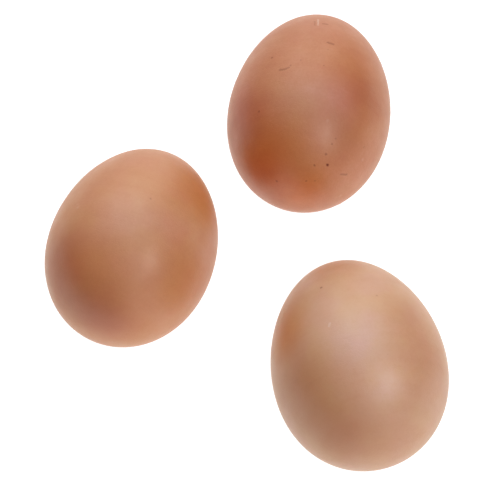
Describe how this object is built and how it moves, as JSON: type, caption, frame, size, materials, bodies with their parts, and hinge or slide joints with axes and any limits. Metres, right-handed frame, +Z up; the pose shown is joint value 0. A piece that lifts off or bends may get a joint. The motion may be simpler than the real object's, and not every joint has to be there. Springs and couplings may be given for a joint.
{
  "type": "loose hen's eggs",
  "caption": "Loose brown hen's eggs, smooth ovals with one end blunter than the other, lying on their sides as food or for a still life.",
  "frame": {"origin": "on the table, in the middle of the space that the eggs take up", "axes": "+Z up from the table, +Y away from the front, the way the pointed ends look, and +X to the right"},
  "size_m": [0.1034, 0.132, 0.0446],
  "materials": {
    "left_shell": "orange-tan eggshell: fine-grained, matt with a soft sheen",
    "rear_shell": "deep reddish-brown eggshell with dark brown specks: fine-grained, matt with a soft sheen",
    "right_shell": "pale pinkish-tan eggshell: fine-grained, with a slightly silkier sheen"
  },
  "bodies": {
    "root": {"left_egg": "left_shell", "rear_egg": "rear_shell", "right_egg": "right_shell"}
  },
  "joints": []
}
